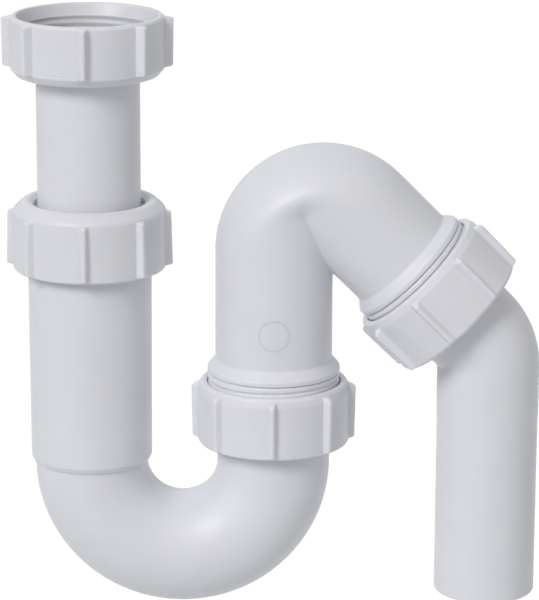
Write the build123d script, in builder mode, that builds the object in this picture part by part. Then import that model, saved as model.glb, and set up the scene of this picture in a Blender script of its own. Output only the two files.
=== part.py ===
from build123d import *
import os
from math import cos, radians, sin, tan

os.makedirs("parts", exist_ok=True)

# Swivel S-trap with a telescopic inlet, in millimetres.
# The origin is the centre of the inlet union's seal seat. +Z runs up the inlet and +X towards the outlet.

# Inlet tube, and the leg that it slides in
inlet_tube_radius = 16.2
inlet_tube_length = 81.0
exposed_tube = 39.3
leg_play = 1.05
leg_wall = 2.2
leg_length = 78.2
leg_mouth_rim = 0.8
leg_foot_chamfer = 0.9
leg_foot_height = 1.8
socket_depth = 10.0
socket_gap = 0.05
socket_wall = 1.28

# Pipe thread, kept as plain cylinders at its root
thread_engagement = 1.55
thread_relief = 0.4
thread_length = 13.7

# Union joints: the nut's lip, the pipe's flange and the flat washer
lip_thickness = 3.0
flange_thickness = 2.5
flange_inset = 0.25
washer_thickness = 3.0
pipe_wall = 2.2
turning_gap = 0.3
end_round = 0.6

# What all four nuts share
nut_wall = 3.0
mouth_flare = 1.0
lead_in_flare = 0.3
lead_in_depth = 4.0
rib_count = 8
rib_width = 3.2
rib_root_fillet = 0.7
rib_end_chamfer = 0.8

# Inlet nut
inlet_nut_height = 18.7
inlet_nut_foot_inset = 2.0
inlet_nut_foot_height = 2.4
inlet_nut_rim_inset = 0.7
inlet_nut_rim_height = 0.8
inlet_rib_foot_margin = 2.9
inlet_rib_rim_margin = 0.5
inlet_rib_foot_rise = 2.5
inlet_rib_rim_rise = 2.7
inlet_rib_turn = -4.5

# Swivel and outlet nuts
union_nut_height = 20.0
union_nut_foot_inset = 0.5
union_nut_foot_height = 0.5
union_nut_rim_inset = 0.7
union_nut_rim_height = 2.8
union_rib_foot_margin = 1.2
union_rib_rim_margin = 2.5
union_rib_foot_rise = 1.8
union_rib_rim_rise = 2.2
swivel_rib_turn = 0.0
outlet_rib_turn = -2.0
outlet_hole_gap = 1.0

# Telescopic nut
telescopic_nut_height = 21.7
telescopic_nut_foot_inset = 4.0
telescopic_nut_foot_height = 3.4
telescopic_nut_foot_round = 2.0
telescopic_nut_rim_inset = 0.5
telescopic_nut_rim_height = 0.6
telescopic_rib_foot_margin = 3.8
telescopic_rib_rim_margin = 1.6
telescopic_rib_foot_rise = 1.7
telescopic_rib_rim_rise = 2.2
telescopic_rib_turn = -5.0
telescopic_hole_gap = 1.45

# Slip ring and taper seal inside the telescopic nut
sliding_gap = 0.05
slip_ring_thickness = 1.5
seal_head = 2.5
seal_nose = 3.2
seal_inset = 0.45

# U-bend
leg_spacing = 58.0
u_bend_radius = 17.87
u_bend_neck = 0.25
u_bend_rise = 12.55

# S-bend
s_bend_radius = 18.5
s_bend_wall = 2.4
s_bend_turn_radius = 15.5
s_bend_turn = 135.0
s_bend_riser = 53.45
s_bend_arm = 37.5
collar_rise = 1.55
collar_width = 1.9
collar_flare = 2.9
collar_round = 0.6
crease_margin = 2.0

# Outlet bend
outlet_radius = 16.2
outlet_turn_radius = 16.5
outlet_run = 11.6
outlet_tail = 74.9
spigot_radius = 16.05
spigot_length = 55.0
spigot_taper = 4.0
spigot_round = 1.8

# Radii that follow from the sizes above, from the inlet tube outwards
leg_bore_radius = inlet_tube_radius + leg_play
pipe_thread_radius = leg_bore_radius + leg_wall
nut_thread_radius = pipe_thread_radius + thread_engagement
nut_radius = nut_thread_radius + nut_wall
mouth_radius = nut_thread_radius + mouth_flare
lead_in_radius = nut_thread_radius + lead_in_flare
flange_radius = pipe_thread_radius - flange_inset
collar_radius = pipe_thread_radius + collar_rise
seal_head_radius = pipe_thread_radius - seal_inset
leg_mouth_radius = pipe_thread_radius - leg_mouth_rim
leg_bottom_radius = u_bend_radius + socket_gap + socket_wall

# Heights and places that follow from the sizes above
union_seat = lip_thickness + flange_thickness + washer_thickness
inlet_nut_base = -union_seat
telescopic_base = inlet_nut_base - exposed_tube
telescopic_seat = lip_thickness + slip_ring_thickness + seal_head
leg_top = telescopic_base - telescopic_seat
leg_bottom = leg_top - leg_length
turn_height = leg_bottom - u_bend_neck
riser_flange = turn_height + u_bend_rise
swivel_base = riser_flange - flange_thickness - lip_thickness
s_bend_foot = riser_flange + washer_thickness
crest_height = s_bend_foot + s_bend_riser
crest_x = leg_spacing + s_bend_turn_radius
arm_x = crest_x - s_bend_turn_radius * cos(radians(s_bend_turn))
arm_z = crest_height + s_bend_turn_radius * sin(radians(s_bend_turn))
arm_direction = Vector(sin(radians(s_bend_turn)), 0, cos(radians(s_bend_turn)))
arm_start = Vector(arm_x, 0, arm_z)
arm_end = arm_start + arm_direction * s_bend_arm
outlet_face = arm_end + arm_direction * washer_thickness
outlet_bend_start = outlet_face + arm_direction * outlet_run
outlet_turn = 180.0 - s_bend_turn
outlet_tangent = outlet_turn_radius * tan(radians(outlet_turn / 2))
outlet_corner = outlet_bend_start + arm_direction * outlet_tangent
tail_top = outlet_corner - Vector(0, 0, outlet_tangent)
tail_end = tail_top - Vector(0, 0, outlet_tail)

# Planes that the sections and joints lie on
crest_plane = Plane.XY.offset(crest_height)
crest_axis = Axis((crest_x, 0, crest_height), (0, 1, 0))
mitre_angle = s_bend_turn / 2
mitre_plane = Plane(
    (crest_x, 0, crest_height),
    x_dir=(0, 1, 0),
    z_dir=(sin(radians(mitre_angle)), 0, cos(radians(mitre_angle))),
)
riser_plane = Plane((leg_spacing, 0, s_bend_foot))
arm_back = Plane(arm_end, x_dir=(0, 1, 0), z_dir=-arm_direction)
outlet_plane = Plane(outlet_face, x_dir=(0, 1, 0), z_dir=arm_direction)
tail_plane = Plane(tail_end)


def section_of(base):
    """The plane through a base plane's axis, with x as the radius and y as the height."""
    return Plane(base.origin, x_dir=base.x_dir, z_dir=-base.y_dir)


def axis_of(base):
    """The axis that stands on a base plane's origin."""
    return Axis(base.origin, base.z_dir)


def ribbed_nut(base, height, hole, seat, foot, rim, margins, rises, turn, foot_round):
    """A nut whose lip lies on the base plane and whose mouth faces along its axis."""
    foot_radius, foot_height = nut_radius - foot[0], foot[1]
    rim_radius, rim_height = nut_radius - rim[0], rim[1]
    rib_low, rib_high = margins[0], height - margins[1]
    foot_reach, rim_reach = nut_radius + rises[0], nut_radius + rises[1]
    relief_radius = nut_thread_radius + thread_relief
    thread_top = height - lead_in_depth
    with BuildPart() as nut:
        with BuildSketch(base.offset(rib_low)) as grip:
            Circle(nut_radius)
            with PolarLocations(nut_radius, rib_count, start_angle=turn):
                SlotOverall(2 * max(rises), rib_width)
            roots = grip.vertices().filter_by(
                lambda v: abs(Vector(v.X, v.Y).length - nut_radius) < rib_root_fillet / 10
            )
            fillet(roots, radius=rib_root_fillet)
        extrude(amount=rib_high - rib_low)
        with BuildSketch(section_of(base)):
            with BuildLine():
                Polyline(
                    (0, rib_low),
                    (foot_reach - rib_end_chamfer, rib_low),
                    (foot_reach, rib_low + rib_end_chamfer),
                    (rim_reach, rib_high - rib_end_chamfer),
                    (rim_reach - rib_end_chamfer, rib_high),
                    (0, rib_high),
                    close=True,
                )
            make_face()
        revolve(axis=axis_of(base), mode=Mode.INTERSECT)
        with BuildSketch(section_of(base)) as body:
            with BuildLine():
                Polyline(
                    (0, 0),
                    (foot_radius, 0),
                    (nut_radius, foot_height),
                    (nut_radius, height - rim_height),
                    (rim_radius, height),
                    (0, height),
                    close=True,
                )
            make_face()
            fillet(body.vertices().sort_by_distance((foot_radius, 0))[0], radius=foot_round)
        revolve(axis=axis_of(base))
        with BuildSketch(section_of(base)):
            with BuildLine():
                Polyline(
                    (0, 0),
                    (hole, 0),
                    (hole, lip_thickness),
                    (relief_radius, lip_thickness),
                    (relief_radius, seat),
                    (nut_thread_radius, seat),
                    (nut_thread_radius, thread_top),
                    (lead_in_radius, thread_top),
                    (mouth_radius, height),
                    (0, height),
                    close=True,
                )
            make_face()
        revolve(axis=axis_of(base), mode=Mode.SUBTRACT)
    return nut


def union_nut(base, hole, turn):
    """The nut of the swivel and outlet joints."""
    return ribbed_nut(
        base,
        height=union_nut_height,
        hole=hole,
        seat=union_seat,
        foot=(union_nut_foot_inset, union_nut_foot_height),
        rim=(union_nut_rim_inset, union_nut_rim_height),
        margins=(union_rib_foot_margin, union_rib_rim_margin),
        rises=(union_rib_foot_rise, union_rib_rim_rise),
        turn=turn,
        foot_round=union_nut_foot_height / 2,
    )


def flat_washer(base, bore):
    """A flat rubber washer that stands on the base plane."""
    with BuildPart() as washer:
        with BuildSketch(base):
            Circle(flange_radius)
            Circle(bore, mode=Mode.SUBTRACT)
        extrude(amount=washer_thickness)
    return washer


def mitred_elbow(radius, stub):
    """Two pipes that meet in a crease inside the bend, with the outside of the bend rounded."""
    with BuildPart() as crown:
        with BuildSketch(crest_plane):
            with Locations((leg_spacing, 0)):
                Circle(radius)
            with Locations((crest_x, 0)):
                Rectangle(radius, 2 * radius, align=(Align.MIN, Align.CENTER), mode=Mode.SUBTRACT)
        revolve(axis=crest_axis, revolution_arc=mitre_angle)
        with BuildSketch(crest_plane):
            with Locations((leg_spacing, 0)):
                Circle(radius)
        extrude(amount=s_bend_turn_radius + radius, mode=Mode.INTERSECT)
    with BuildPart() as elbow:
        with BuildSketch(crest_plane):
            with Locations((leg_spacing, 0)):
                Circle(radius)
        extrude(amount=-stub)
        split(bisect_by=mitre_plane, keep=Keep.BOTTOM)
        add(crown.part)
        mirror(about=mitre_plane)
    return elbow


# Inlet nut, open end up
inlet_nut = ribbed_nut(
    Plane.XY.offset(inlet_nut_base),
    height=inlet_nut_height,
    hole=inlet_tube_radius + turning_gap,
    seat=union_seat,
    foot=(inlet_nut_foot_inset, inlet_nut_foot_height),
    rim=(inlet_nut_rim_inset, inlet_nut_rim_height),
    margins=(inlet_rib_foot_margin, inlet_rib_rim_margin),
    rises=(inlet_rib_foot_rise, inlet_rib_rim_rise),
    turn=inlet_rib_turn,
    foot_round=inlet_nut_foot_height / 2,
)
inlet_nut.part.label = "inlet_nut"
export_step(inlet_nut.part, "parts/inlet_nut.step")

# Washer of the inlet union, with its top face on the seat
inlet_washer = flat_washer(Plane.XY.offset(-washer_thickness), inlet_tube_radius - pipe_wall)
inlet_washer.part.label = "inlet_washer"
export_step(inlet_washer.part, "parts/inlet_washer.step")

# Inlet tube, flanged at its top
with BuildPart() as inlet_tube:
    flange_plane = Plane.XY.offset(-washer_thickness)
    with BuildSketch(flange_plane):
        Circle(inlet_tube_radius)
    extrude(amount=-inlet_tube_length)
    fillet(inlet_tube.faces().sort_by(Axis.Z)[0].edges(), radius=end_round)
    with BuildSketch(flange_plane):
        Circle(flange_radius)
    extrude(amount=-flange_thickness)
    with BuildSketch(flange_plane):
        Circle(inlet_tube_radius - pipe_wall)
    extrude(amount=-inlet_tube_length, mode=Mode.SUBTRACT)
inlet_tube.part.label = "inlet_tube"
export_step(inlet_tube.part, "parts/inlet_tube.step")

# Telescopic nut, lip end up
telescopic_nut = ribbed_nut(
    Plane((0, 0, telescopic_base), x_dir=(1, 0, 0), z_dir=(0, 0, -1)),
    height=telescopic_nut_height,
    hole=inlet_tube_radius + telescopic_hole_gap,
    seat=telescopic_seat,
    foot=(telescopic_nut_foot_inset, telescopic_nut_foot_height),
    rim=(telescopic_nut_rim_inset, telescopic_nut_rim_height),
    margins=(telescopic_rib_foot_margin, telescopic_rib_rim_margin),
    rises=(telescopic_rib_foot_rise, telescopic_rib_rim_rise),
    turn=telescopic_rib_turn,
    foot_round=telescopic_nut_foot_round,
)
telescopic_nut.part.label = "telescopic_nut"
export_step(telescopic_nut.part, "parts/telescopic_nut.step")

# Slip ring, between the telescopic nut's lip and the seal
with BuildPart() as slip_ring:
    with BuildSketch(Plane.XY.offset(telescopic_base - lip_thickness)):
        Circle(flange_radius)
        Circle(inlet_tube_radius + turning_gap, mode=Mode.SUBTRACT)
    extrude(amount=-slip_ring_thickness)
slip_ring.part.label = "slip_ring"
export_step(slip_ring.part, "parts/slip_ring.step")

# Taper seal in the leg's mouth, around the inlet tube
leg_mouth_depth = leg_mouth_radius - leg_bore_radius
with BuildPart() as telescopic_seal:
    with BuildSketch(Plane.XZ):
        with BuildLine():
            Polyline(
                (inlet_tube_radius + sliding_gap, leg_top + seal_head),
                (seal_head_radius, leg_top + seal_head),
                (seal_head_radius, leg_top + seal_head_radius - leg_mouth_radius + sliding_gap),
                (leg_bore_radius - sliding_gap, leg_top - leg_mouth_depth),
                (leg_bore_radius - sliding_gap, leg_top - seal_nose),
                (inlet_tube_radius + sliding_gap, leg_top - seal_nose),
                close=True,
            )
        make_face()
    revolve(axis=Axis.Z)
telescopic_seal.part.label = "telescopic_seal"
export_step(telescopic_seal.part, "parts/telescopic_seal.step")

# Inlet leg, with its mouth at the top and the U-bend's socket at the bottom
with BuildPart() as inlet_leg:
    with BuildSketch(Plane.XZ):
        with BuildLine():
            Polyline(
                (0, leg_top),
                (pipe_thread_radius, leg_top),
                (pipe_thread_radius, leg_top - thread_length),
                (leg_bottom_radius, leg_bottom + leg_foot_height),
                (leg_bottom_radius - leg_foot_chamfer, leg_bottom),
                (0, leg_bottom),
                close=True,
            )
        make_face()
    revolve(axis=Axis.Z)
    with BuildSketch(Plane.XZ):
        with BuildLine():
            Polyline(
                (0, leg_top),
                (leg_mouth_radius, leg_top),
                (leg_bore_radius, leg_top - leg_mouth_depth),
                (leg_bore_radius, leg_bottom + socket_depth),
                (u_bend_radius + socket_gap, leg_bottom + socket_depth),
                (u_bend_radius + socket_gap, leg_bottom),
                (0, leg_bottom),
                close=True,
            )
        make_face()
    revolve(axis=Axis.Z, mode=Mode.SUBTRACT)
inlet_leg.part.label = "inlet_leg"
export_step(inlet_leg.part, "parts/inlet_leg.step")

# U-bend, from the leg's socket round to the flange inside the swivel nut
with BuildPart() as u_bend:
    with BuildLine() as route:
        Line((0, 0, leg_bottom + socket_depth), (0, 0, turn_height))
        ThreePointArc(
            (0, 0, turn_height),
            (leg_spacing / 2, 0, turn_height - leg_spacing / 2),
            (leg_spacing, 0, turn_height),
        )
        Line((leg_spacing, 0, turn_height), (leg_spacing, 0, riser_flange))
    with BuildSketch(Plane.XY.offset(leg_bottom + socket_depth)):
        Circle(u_bend_radius)
    sweep()
    with BuildSketch(Plane((leg_spacing, 0, riser_flange))):
        Circle(flange_radius)
    extrude(amount=-flange_thickness)
    with BuildSketch(Plane.XY.offset(leg_bottom + socket_depth)):
        Circle(u_bend_radius - pipe_wall)
    sweep(path=route.line, mode=Mode.SUBTRACT)

# The U-bend's two halves, which meet face to face at its lowest point
with BuildPart() as u_bend_left:
    add(u_bend.part)
    split(bisect_by=Plane.YZ.offset(leg_spacing / 2), keep=Keep.BOTTOM)
u_bend_left.part.label = "u_bend_left"
export_step(u_bend_left.part, "parts/u_bend_left.step")

with BuildPart() as u_bend_right:
    add(u_bend.part)
    split(bisect_by=Plane.YZ.offset(leg_spacing / 2), keep=Keep.TOP)
u_bend_right.part.label = "u_bend_right"
export_step(u_bend_right.part, "parts/u_bend_right.step")

# Swivel nut, captive under the U-bend's flange
swivel_nut = union_nut(
    Plane((leg_spacing, 0, swivel_base)), u_bend_radius + turning_gap, swivel_rib_turn
)
swivel_nut.part.label = "swivel_nut"
export_step(swivel_nut.part, "parts/swivel_nut.step")

# Washer of the swivel joint
swivel_washer = flat_washer(Plane((leg_spacing, 0, riser_flange)), s_bend_radius - s_bend_wall)
swivel_washer.part.label = "swivel_washer"
export_step(swivel_washer.part, "parts/swivel_washer.step")

# S-bend: riser, tight turn and sloping arm, with a collar and a thread at each end
shared_stub = s_bend_arm - thread_length
crease_drop = (s_bend_radius - s_bend_turn_radius) * tan(radians(mitre_angle)) + crease_margin
outer_elbow = mitred_elbow(s_bend_radius, shared_stub)
inner_elbow = mitred_elbow(s_bend_radius - s_bend_wall, shared_stub)
with BuildPart() as s_bend:
    add(outer_elbow.part)
    with BuildSketch(riser_plane):
        Circle(s_bend_radius)
    extrude(amount=s_bend_riser - shared_stub)
    for end in (riser_plane, arm_back):
        with BuildSketch(section_of(end)) as collar:
            with BuildLine():
                Polyline(
                    (0, 0),
                    (pipe_thread_radius, 0),
                    (pipe_thread_radius, thread_length),
                    (collar_radius, thread_length),
                    (collar_radius, thread_length + collar_width),
                    (s_bend_radius, thread_length + collar_width + collar_flare),
                    (0, thread_length + collar_width + collar_flare),
                    close=True,
                )
            make_face()
            rims = collar.vertices().filter_by(lambda v: v.X > collar_radius - turning_gap)
            fillet(rims, radius=collar_round)
        revolve(axis=axis_of(end))
    add(inner_elbow.part, mode=Mode.SUBTRACT)
    with BuildSketch(riser_plane, arm_back):
        Circle(s_bend_radius - s_bend_wall)
    extrude(amount=s_bend_riser - shared_stub, mode=Mode.SUBTRACT)

# The S-bend's riser, turn and arm, which meet face to face where the crease ends
riser_end = Plane.XY.offset(crest_height - crease_drop)
arm_root = Plane(arm_start + arm_direction * crease_drop, x_dir=(0, 1, 0), z_dir=arm_direction)
with BuildPart() as s_bend_riser:
    add(s_bend.part)
    split(bisect_by=mitre_plane, keep=Keep.BOTTOM)
    split(bisect_by=riser_end, keep=Keep.BOTTOM)
s_bend_riser.part.label = "s_bend_riser"
export_step(s_bend_riser.part, "parts/s_bend_riser.step")

with BuildPart() as s_bend_arm_tube:
    add(s_bend.part)
    split(bisect_by=mitre_plane, keep=Keep.TOP)
    split(bisect_by=arm_root, keep=Keep.TOP)
s_bend_arm_tube.part.label = "s_bend_arm"
export_step(s_bend_arm_tube.part, "parts/s_bend_arm.step")

with BuildPart() as s_bend_turn_shell:
    add(s_bend.part)
    split(bisect_by=mitre_plane, keep=Keep.BOTTOM)
    split(bisect_by=riser_end, keep=Keep.TOP)
    mirror(about=mitre_plane)
s_bend_turn_shell.part.label = "s_bend_turn"
export_step(s_bend_turn_shell.part, "parts/s_bend_turn.step")

# Outlet nut, its lip towards the tail
outlet_nut = union_nut(
    Plane(
        outlet_face + arm_direction * (flange_thickness + lip_thickness),
        x_dir=(0, 1, 0),
        z_dir=-arm_direction,
    ),
    outlet_radius + outlet_hole_gap,
    outlet_rib_turn,
)
outlet_nut.part.label = "outlet_nut"
export_step(outlet_nut.part, "parts/outlet_nut.step")

# Washer of the outlet joint
outlet_washer = flat_washer(
    Plane(arm_end, x_dir=(0, 1, 0), z_dir=arm_direction), s_bend_radius - s_bend_wall
)
outlet_washer.part.label = "outlet_washer"
export_step(outlet_washer.part, "parts/outlet_washer.step")

# Outlet bend, flanged at the joint and ending in a plain spigot
with BuildPart() as outlet_bend:
    with BuildLine() as drain:
        Line(outlet_face, outlet_bend_start)
        TangentArc(outlet_bend_start, tail_top, tangent=arm_direction)
        Line(tail_top, tail_end)
    with BuildLine() as turn:
        Line(outlet_face, outlet_bend_start)
        TangentArc(outlet_bend_start, tail_top, tangent=arm_direction)
    with BuildSketch(outlet_plane):
        Circle(outlet_radius)
    sweep(path=turn.line)
    with BuildSketch(outlet_plane):
        Circle(flange_radius)
    extrude(amount=flange_thickness)
    with BuildSketch(section_of(tail_plane)) as tail:
        with BuildLine():
            Polyline(
                (0, 0),
                (spigot_radius, 0),
                (spigot_radius, spigot_round + spigot_length),
                (outlet_radius, spigot_round + spigot_length + spigot_taper),
                (outlet_radius, outlet_tail),
                (0, outlet_tail),
                close=True,
            )
        make_face()
        fillet(tail.vertices().sort_by_distance((spigot_radius, 0))[0], radius=spigot_round)
    revolve(axis=axis_of(tail_plane))
    with BuildSketch(outlet_plane):
        Circle(outlet_radius - pipe_wall)
    sweep(path=drain.line, mode=Mode.SUBTRACT)
outlet_bend.part.label = "outlet_bend"
export_step(outlet_bend.part, "parts/outlet_bend.step")
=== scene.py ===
"""Looks of a telescopic swivel S-trap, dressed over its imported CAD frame."""

from math import acos, asin, cos, pi, radians, sin, tan

import bmesh
import bpy
import numpy as np
from mathutils import Matrix, Vector


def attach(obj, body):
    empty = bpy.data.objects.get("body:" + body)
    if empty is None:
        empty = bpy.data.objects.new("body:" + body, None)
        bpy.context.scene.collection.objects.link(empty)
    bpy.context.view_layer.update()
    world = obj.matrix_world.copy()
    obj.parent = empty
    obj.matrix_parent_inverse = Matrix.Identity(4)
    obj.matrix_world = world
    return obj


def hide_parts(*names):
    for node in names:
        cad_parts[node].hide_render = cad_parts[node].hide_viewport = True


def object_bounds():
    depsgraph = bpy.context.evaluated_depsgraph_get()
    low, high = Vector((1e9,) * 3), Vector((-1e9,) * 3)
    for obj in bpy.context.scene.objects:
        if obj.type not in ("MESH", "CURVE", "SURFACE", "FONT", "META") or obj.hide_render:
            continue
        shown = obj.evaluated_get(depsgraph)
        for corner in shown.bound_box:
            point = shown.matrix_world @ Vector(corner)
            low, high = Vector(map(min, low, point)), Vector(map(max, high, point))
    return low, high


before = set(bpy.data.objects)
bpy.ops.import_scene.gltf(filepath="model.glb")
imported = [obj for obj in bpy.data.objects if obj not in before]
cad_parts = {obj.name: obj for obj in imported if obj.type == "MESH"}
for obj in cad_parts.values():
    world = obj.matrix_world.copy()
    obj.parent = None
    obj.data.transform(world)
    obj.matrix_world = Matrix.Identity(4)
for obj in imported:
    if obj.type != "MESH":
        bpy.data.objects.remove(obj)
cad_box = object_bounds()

bl_info = {
    "name": "Sink Trap",
    "version": (1, 0, 0),
    "blender": (4, 5, 0),
    "location": "3D View > Sidebar > Sink Trap",
    "description": "Dresses the packed frame of a telescopic swivel S-trap",
    "category": "Object",
}

MILLIMETRES = 1000.0

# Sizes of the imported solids, in millimetres
NUT_THREAD_RADIUS = 21.0
PIPE_THREAD_RADIUS = 19.45
THREAD_RELIEF = 0.4
THREAD_LENGTH = 13.7
LIP_THICKNESS = 3.0
FLANGE_THICKNESS = 2.5
FLANGE_RADIUS = 19.2
WASHER_THICKNESS = 3.0
UNION_SEAT = LIP_THICKNESS + FLANGE_THICKNESS + WASHER_THICKNESS
PIPE_WALL = 2.2
TURNING_GAP = 0.3
NUT_RADIUS = 24.0
RIB_COUNT = 8
INLET_RADIUS = 16.2
INLET_LENGTH = 81.0
INLET_NUT_HEIGHT = 18.7
EXPOSED_TUBE = 39.3
TELESCOPIC_SEAT = 7.0
LEG_TOP_RADIUS = 19.45
LEG_BOTTOM_RADIUS = 19.2
LEG_MOUTH_RADIUS = 18.65
LEG_BORE_RADIUS = 17.25
LEG_LENGTH = 78.2
LEG_FOOT_CHAMFER = 0.9
LEG_FOOT_HEIGHT = 1.8
SOCKET_DEPTH = 10.0
SOCKET_GAP = 0.05
LEG_SPACING = 58.0
U_BEND_RADIUS = 17.87
U_BEND_NECK = 0.25
U_BEND_RISE = 12.55
S_BEND_RADIUS = 18.5
S_BEND_BORE = 16.1
S_BEND_TURN_RADIUS = 15.5
S_BEND_TURN = radians(135.0)
S_BEND_RISER = 53.45
S_BEND_ARM = 37.5
COLLAR_RADIUS = 21.0
COLLAR_WIDTH = 1.9
COLLAR_FLARE = 2.9
OUTLET_RADIUS = 16.2
OUTLET_TURN_RADIUS = 16.5
OUTLET_RUN = 11.6
OUTLET_TAIL = 74.9
SPIGOT_RADIUS = 16.05
SPIGOT_LENGTH = 55.0
SPIGOT_TAPER = 4.0
SPIGOT_ROUND = 1.8

# Places that follow from those sizes
INLET_BASE = -UNION_SEAT
TELESCOPIC_BASE = INLET_BASE - EXPOSED_TUBE
LEG_TOP = TELESCOPIC_BASE - TELESCOPIC_SEAT
LEG_BOTTOM = LEG_TOP - LEG_LENGTH
TURN_HEIGHT = LEG_BOTTOM - U_BEND_NECK
RISER_FLANGE = TURN_HEIGHT + U_BEND_RISE
SWIVEL_BASE = RISER_FLANGE - FLANGE_THICKNESS - LIP_THICKNESS
S_BEND_FOOT = RISER_FLANGE + WASHER_THICKNESS
CREST_HEIGHT = S_BEND_FOOT + S_BEND_RISER
CREST_X = LEG_SPACING + S_BEND_TURN_RADIUS
MITRE_SLOPE = tan(S_BEND_TURN / 2)
UP = np.array((0.0, 0.0, 1.0))
SIDEWAYS = np.array((0.0, 1.0, 0.0))
ARM_DIRECTION = np.array((sin(S_BEND_TURN), 0.0, cos(S_BEND_TURN)))
ARM_OUTWARD = np.array((-cos(S_BEND_TURN), 0.0, sin(S_BEND_TURN)))
ARM_START = np.array((CREST_X, 0.0, CREST_HEIGHT)) + ARM_OUTWARD * S_BEND_TURN_RADIUS
OUTLET_FACE = ARM_START + ARM_DIRECTION * (S_BEND_ARM + WASHER_THICKNESS)
OUTLET_LIP = OUTLET_FACE + ARM_DIRECTION * (FLANGE_THICKNESS + LIP_THICKNESS)

# Threads: the root is a share of the depth, ridge width and flank of half a pitch, fades of a pitch
THREAD_PITCH = 2.309
THREAD_START = 0.73
ARM_THREAD_LAG = 1.0
THREAD_ROOT = 0.65
RIDGE_WIDTH = 0.97
RIDGE_FLANK = 0.6
INLET_RIDGE_FLANK = 0.95
THREAD_FADE_IN = 0.2
THREAD_FADE_OUT = 0.1
FIRST_TURN_DEPTH = 3.83
COLLAR_FOOT = 14.05

# The nuts' mouths and grip ribs
LEAD_IN_RADIUS = 21.1
LEAD_IN_DEPTH = 0.9
LIP_CHAMFER = 0.5
NUT_OUTSIDE = NUT_THREAD_RADIUS + 0.9
NUT_BORE_REACH = 0.35
GROOVE_WIDTH = 0.16
RIB_CREST = 0.65
RIB_CREST_FLAT = 0.2
RIB_ROOT = 0.5
RIB_LEAN = radians(21.0)

# The S-bend's crease, which fades out between two distances from the turn's axis
CREASE_REACH = 9.5
CREASE_LOW = 4.0
CREASE_HIGH = 30.0
CREASE_BLEND = 0.8

# The mould mark on the riser's front
MARK_HEIGHT = 30.0
MARK_RADIUS = 4.8
MARK_WIRE = 0.15

# How finely the meshes are divided, and how much of an edge one rounded corner may take
PIPE_COLUMNS = 160
S_BEND_COLUMNS = 192
PLAIN_RIB_COLUMNS = 15
MARK_SIDES = 8
THREAD_ROW = 0.1
PIPE_ROW = 4.0
RIB_END_ROWS = np.array((-0.5, -0.1, 0.0, 0.014, 0.055, 0.12, 0.22, 0.37, 0.55, 0.78, 1.0, 1.3))
GROOVE_ROWS = (-0.3, -0.18, -0.08, 0.0, 0.08, 0.18, 0.3)
CORNER_SHARE = 0.45
NORMAL_WEIGHT = 60

# The S-bend's profile gives its turn this length: the middle share bends, and the ends are straight
TURN_SPAN = 100.0
TURN_SHARE = 0.7
TURN_STRAIGHT = (1 - TURN_SHARE) / 2
TURN_MARGIN = 9.6
TURN_START = S_BEND_RISER - TURN_MARGIN

# Radii between which a profile's edge carries a male thread
THREAD_BAND = (19.0, 20.0)

# Azimuth and elevation of the lights, in degrees
KEY_PLACE = (-35.0, 35.0)
FILL_PLACE = (42.0, 45.0)
BACK_PLACE = (180.0, 50.0)
BROAD_LIGHT = radians(60.0)
WHITE_LIGHT = (1.0, 1.0, 1.0)
WARM_LIGHT = (1.0, 0.99, 0.97)
COOL_LIGHT = (0.72, 0.85, 1.0)


class TrapSizes(bpy.types.PropertyGroup):
    """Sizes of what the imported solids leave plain"""

    thread_pitch: bpy.props.FloatProperty(
        name="Thread Pitch",
        description="Distance between two turns of the pipe thread",
        default=THREAD_PITCH / MILLIMETRES,
        min=0.001,
        unit="LENGTH",
    )
    thread_depth: bpy.props.FloatProperty(
        name="Thread Depth",
        description="Height of the thread's ridges above their root",
        default=0.0014,
        min=0.0001,
        unit="LENGTH",
    )
    edge_round: bpy.props.FloatProperty(
        name="Edge Rounding",
        description="Radius of the moulded edges on pipes and nuts",
        default=0.0004,
        min=0.0001,
        unit="LENGTH",
    )
    rib_end_round: bpy.props.FloatProperty(
        name="Rib End Rounding",
        description="Length over which a grip rib rises from the nut at each end",
        default=0.0009,
        min=0.0001,
        unit="LENGTH",
    )
    crease_round: bpy.props.FloatProperty(
        name="Crease Rounding",
        description="Radius in the crease inside the S-bend's turn",
        default=0.00045,
        min=0.0001,
        unit="LENGTH",
    )


class TrapFinishes(bpy.types.PropertyGroup):
    """Colours and surface grain of the trap's materials"""

    pipe_colour: bpy.props.FloatVectorProperty(
        name="Pipe Colour",
        description="Colour of the white pipes",
        default=(0.765, 0.769, 0.806),
        subtype="COLOR",
        min=0.0,
        max=1.0,
    )
    nut_colour: bpy.props.FloatVectorProperty(
        name="Nut Colour",
        description="Colour of the white union nuts",
        default=(0.76, 0.763, 0.8),
        subtype="COLOR",
        min=0.0,
        max=1.0,
    )
    ring_colour: bpy.props.FloatVectorProperty(
        name="Slip Ring Colour",
        description="Colour of the natural plastic slip ring",
        default=(0.72, 0.72, 0.69),
        subtype="COLOR",
        min=0.0,
        max=1.0,
    )
    rubber_colour: bpy.props.FloatVectorProperty(
        name="Rubber Colour",
        description="Colour of the washers and the taper seal",
        default=(0.035, 0.035, 0.038),
        subtype="COLOR",
        min=0.0,
        max=1.0,
    )
    plastic_roughness: bpy.props.FloatProperty(
        name="Plastic Roughness",
        description="Roughness of the moulded plastic",
        default=0.42,
        min=0.0,
        max=1.0,
        subtype="FACTOR",
    )
    rubber_roughness: bpy.props.FloatProperty(
        name="Rubber Roughness",
        description="Roughness of the rubber",
        default=0.72,
        min=0.0,
        max=1.0,
        subtype="FACTOR",
    )
    grain_depth: bpy.props.FloatProperty(
        name="Grain Depth",
        description="Depth of the fine moulded grain",
        default=0.000012,
        min=0.0,
        unit="LENGTH",
    )


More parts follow.
